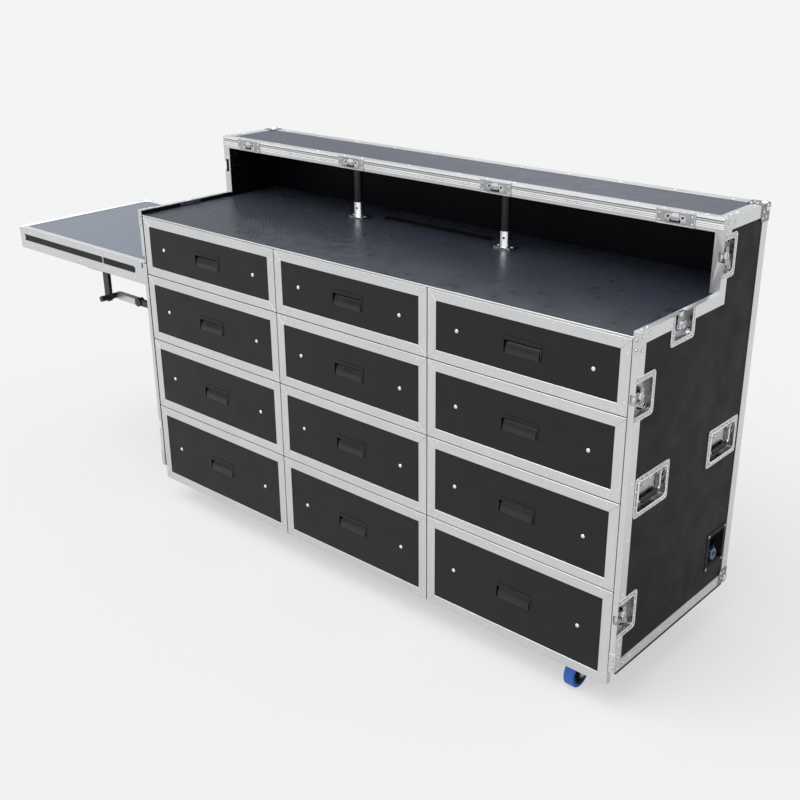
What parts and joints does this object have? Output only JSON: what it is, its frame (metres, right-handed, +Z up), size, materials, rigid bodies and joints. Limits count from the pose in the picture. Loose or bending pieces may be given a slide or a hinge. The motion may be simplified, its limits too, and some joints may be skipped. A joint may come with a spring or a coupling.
{
  "type": "road case with drawers",
  "caption": "Rolling flight case with drawers in aluminium frames, a worktop below a raised rear shelf, recessed latches and handles, and a side table that folds down on a stay.",
  "frame": {"origin": "on the floor, below the middle of the bounding box with the side table out", "axes": "+X to the right as seen from the drawers, +Y to the back, +Z up"},
  "size_m": [2.635, 0.6042, 1.221],
  "materials": {
    "panel": "black textured laminate on plywood, semi-matt",
    "carcass": "black laminate on plywood, matt",
    "mat": "plywood under a dark anti-slip mat with a fine raised pattern",
    "aluminium": "natural anodised, satin",
    "zinc": "zinc plated steel",
    "post": "black powder coat with plated fittings",
    "black_plastic": "black moulded plastic",
    "table_panel": "dark textured laminate on plywood",
    "table_metal": "natural anodised, satin",
    "black_metal": "black powder coat",
    "tube": "plain tube, satin",
    "drawer_wood": "front in black textured laminate, box in birch plywood",
    "bail": "plated wire with a black rubber grip",
    "wheel": "blue elastic tread on a black hub"
  },
  "bodies": {
    "case": {"side_panels": "panel", "carcass_panels": "carcass", "worktop": "mat", "edge_extrusions": "aluminium", "worktop_lip": "aluminium", "corner_hardware": "zinc", "recessed_dishes": "zinc", "shelf_posts": "post", "power_inlet": "black_plastic", "cable_slot": "black_plastic", "drawer_runners": "zinc", "castor_plates": "zinc", "table_brackets": "zinc"},
    "table": {"table_top": "table_panel", "table_rails": "table_metal", "table_hinges": "zinc"},
    "stay_arm": {"stay_arm": "black_metal"},
    "stay_strut": {"stay_strut": "tube"},
    "handle_front": {"handle_front": "bail"},
    "handle_rear": {"handle_rear": "bail"},
    "drawer_left_1": {"drawer_left_1_box": "drawer_wood", "drawer_left_1_frame": "aluminium"},
    "drawer_left_2": {"drawer_left_2_box": "drawer_wood", "drawer_left_2_frame": "aluminium"},
    "drawer_left_3": {"drawer_left_3_box": "drawer_wood", "drawer_left_3_frame": "aluminium"},
    "drawer_left_4": {"drawer_left_4_box": "drawer_wood", "drawer_left_4_frame": "aluminium"},
    "drawer_middle_1": {"drawer_middle_1_box": "drawer_wood", "drawer_middle_1_frame": "aluminium"},
    "drawer_middle_2": {"drawer_middle_2_box": "drawer_wood", "drawer_middle_2_frame": "aluminium"},
    "drawer_middle_3": {"drawer_middle_3_box": "drawer_wood", "drawer_middle_3_frame": "aluminium"},
    "drawer_middle_4": {"drawer_middle_4_box": "drawer_wood", "drawer_middle_4_frame": "aluminium"},
    "drawer_right_1": {"drawer_right_1_box": "drawer_wood", "drawer_right_1_frame": "aluminium"},
    "drawer_right_2": {"drawer_right_2_box": "drawer_wood", "drawer_right_2_frame": "aluminium"},
    "drawer_right_3": {"drawer_right_3_box": "drawer_wood", "drawer_right_3_frame": "aluminium"},
    "drawer_right_4": {"drawer_right_4_box": "drawer_wood", "drawer_right_4_frame": "aluminium"},
    "latch_right_upper": {"latch_right_upper": "zinc"},
    "latch_right_lower": {"latch_right_lower": "zinc"},
    "latch_right_step": {"latch_right_step": "zinc"},
    "latch_right_riser": {"latch_right_riser": "zinc"},
    "latch_left_upper": {"latch_left_upper": "zinc"},
    "latch_left_lower": {"latch_left_lower": "zinc"},
    "latch_left_step": {"latch_left_step": "zinc"},
    "latch_left_riser": {"latch_left_riser": "zinc"},
    "castor_front_right_fork": {"castor_front_right_fork": "zinc"},
    "castor_front_right_wheel": {"castor_front_right_wheel": "wheel"},
    "castor_front_left_fork": {"castor_front_left_fork": "zinc"},
    "castor_front_left_wheel": {"castor_front_left_wheel": "wheel"},
    "castor_rear_right_fork": {"castor_rear_right_fork": "zinc"},
    "castor_rear_right_wheel": {"castor_rear_right_wheel": "wheel"},
    "castor_rear_left_fork": {"castor_rear_left_fork": "zinc"},
    "castor_rear_left_wheel": {"castor_rear_left_wheel": "wheel"}
  },
  "joints": [
    {"name": "drawer_left_1_slide", "type": "slide", "parent": "case", "child": "drawer_left_1", "axis": [0, -1, 0], "range_m": [0, 0.4]},
    {"name": "drawer_left_2_slide", "type": "slide", "parent": "case", "child": "drawer_left_2", "axis": [0, -1, 0], "range_m": [0, 0.4]},
    {"name": "drawer_left_3_slide", "type": "slide", "parent": "case", "child": "drawer_left_3", "axis": [0, -1, 0], "range_m": [0, 0.4]},
    {"name": "drawer_left_4_slide", "type": "slide", "parent": "case", "child": "drawer_left_4", "axis": [0, -1, 0], "range_m": [0, 0.4]},
    {"name": "drawer_middle_1_slide", "type": "slide", "parent": "case", "child": "drawer_middle_1", "axis": [0, -1, 0], "range_m": [0, 0.4]},
    {"name": "drawer_middle_2_slide", "type": "slide", "parent": "case", "child": "drawer_middle_2", "axis": [0, -1, 0], "range_m": [0, 0.4]},
    {"name": "drawer_middle_3_slide", "type": "slide", "parent": "case", "child": "drawer_middle_3", "axis": [0, -1, 0], "range_m": [0, 0.4]},
    {"name": "drawer_middle_4_slide", "type": "slide", "parent": "case", "child": "drawer_middle_4", "axis": [0, -1, 0], "range_m": [0, 0.4]},
    {"name": "drawer_right_1_slide", "type": "slide", "parent": "case", "child": "drawer_right_1", "axis": [0, -1, 0], "range_m": [0, 0.4]},
    {"name": "drawer_right_2_slide", "type": "slide", "parent": "case", "child": "drawer_right_2", "axis": [0, -1, 0], "range_m": [0, 0.4]},
    {"name": "drawer_right_3_slide", "type": "slide", "parent": "case", "child": "drawer_right_3", "axis": [0, -1, 0], "range_m": [0, 0.4]},
    {"name": "drawer_right_4_slide", "type": "slide", "parent": "case", "child": "drawer_right_4", "axis": [0, -1, 0], "range_m": [0, 0.4]},
    {"name": "latch_right_upper_turn", "type": "hinge", "parent": "case", "child": "latch_right_upper", "pos_m": [1.3065, -0.2609, 0.865], "axis": [1, 0, 0], "range_deg": [0, 180]},
    {"name": "latch_right_lower_turn", "type": "hinge", "parent": "case", "child": "latch_right_lower", "pos_m": [1.3065, -0.2609, 0.28], "axis": [1, 0, 0], "range_deg": [0, 180]},
    {"name": "latch_right_step_turn", "type": "hinge", "parent": "case", "child": "latch_right_step", "pos_m": [1.3065, -0.1014, 0.994], "axis": [1, 0, 0], "range_deg": [0, 180]},
    {"name": "latch_right_riser_turn", "type": "hinge", "parent": "case", "child": "latch_right_riser", "pos_m": [1.3065, 0.0966, 1.1195], "axis": [1, 0, 0], "range_deg": [0, 180]},
    {"name": "latch_left_upper_turn", "type": "hinge", "parent": "case", "child": "latch_left_upper", "pos_m": [-0.5175, -0.2609, 0.865], "axis": [-1, 0, 0], "range_deg": [0, 180]},
    {"name": "latch_left_lower_turn", "type": "hinge", "parent": "case", "child": "latch_left_lower", "pos_m": [-0.5175, -0.2609, 0.28], "axis": [-1, 0, 0], "range_deg": [0, 180]},
    {"name": "latch_left_step_turn", "type": "hinge", "parent": "case", "child": "latch_left_step", "pos_m": [-0.5175, -0.1014, 0.994], "axis": [-1, 0, 0], "range_deg": [0, 180]},
    {"name": "latch_left_riser_turn", "type": "hinge", "parent": "case", "child": "latch_left_riser", "pos_m": [-0.5175, 0.0966, 1.1195], "axis": [-1, 0, 0], "range_deg": [0, 180]},
    {"name": "handle_front_swing", "type": "hinge", "parent": "case", "child": "handle_front", "pos_m": [1.30435, -0.1874, 0.63], "axis": [0, -1, 0], "range_deg": [0, 90], "stiffness_Nm_per_rad": 0.4, "springref_deg": -28.65},
    {"name": "handle_rear_swing", "type": "hinge", "parent": "case", "child": "handle_rear", "pos_m": [1.30435, 0.1736, 0.63], "axis": [0, -1, 0], "range_deg": [0, 90], "stiffness_Nm_per_rad": 0.4, "springref_deg": -28.65},
    {"name": "castor_front_right_swivel", "type": "hinge", "parent": "case", "child": "castor_front_right_fork", "pos_m": [1.1735, -0.2144, 0.09], "axis": [0, 0, 1], "continuous": true},
    {"name": "castor_front_right_roll", "type": "hinge", "parent": "castor_front_right_fork", "child": "castor_front_right_wheel", "pos_m": [1.1735, -0.2504, 0.04], "axis": [1, 0, 0], "continuous": true},
    {"name": "castor_front_left_swivel", "type": "hinge", "parent": "case", "child": "castor_front_left_fork", "pos_m": [-0.3845, -0.2144, 0.09], "axis": [0, 0, 1], "continuous": true},
    {"name": "castor_front_left_roll", "type": "hinge", "parent": "castor_front_left_fork", "child": "castor_front_left_wheel", "pos_m": [-0.3845, -0.1784, 0.04], "axis": [1, 0, 0], "continuous": true},
    {"name": "castor_rear_right_swivel", "type": "hinge", "parent": "case", "child": "castor_rear_right_fork", "pos_m": [1.1735, 0.2096, 0.09], "axis": [0, 0, 1], "continuous": true},
    {"name": "castor_rear_right_roll", "type": "hinge", "parent": "castor_rear_right_fork", "child": "castor_rear_right_wheel", "pos_m": [1.1735, 0.1736, 0.04], "axis": [1, 0, 0], "continuous": true},
    {"name": "castor_rear_left_swivel", "type": "hinge", "parent": "case", "child": "castor_rear_left_fork", "pos_m": [-0.3845, 0.2096, 0.09], "axis": [0, 0, 1], "continuous": true},
    {"name": "castor_rear_left_roll", "type": "hinge", "parent": "castor_rear_left_fork", "child": "castor_rear_left_wheel", "pos_m": [-0.3845, 0.1736, 0.04], "axis": [1, 0, 0], "continuous": true},
    {"name": "table_fold", "type": "hinge", "parent": "case", "child": "table", "pos_m": [-0.571, 0.0066, 0.8085], "axis": [0, 1, 0], "range_deg": [-90, 0]},
    {"name": "stay_strut_fold", "type": "hinge", "parent": "case", "child": "stay_strut", "pos_m": [-0.571, -0.1954, 0.6555], "axis": [0, 1, 0], "range_deg": [-90, 0]},
    {"name": "stay_arm_fold", "type": "hinge", "parent": "table", "child": "stay_arm", "pos_m": [-0.848, -0.2334, 0.8085], "axis": [0, 1, 0], "range_deg": [0, 90]}
  ],
  "couplings": [
    {"joint": "stay_strut_fold", "follows": "table_fold", "ratio": 1},
    {"joint": "stay_arm_fold", "follows": "table_fold", "ratio": -1}
  ]
}
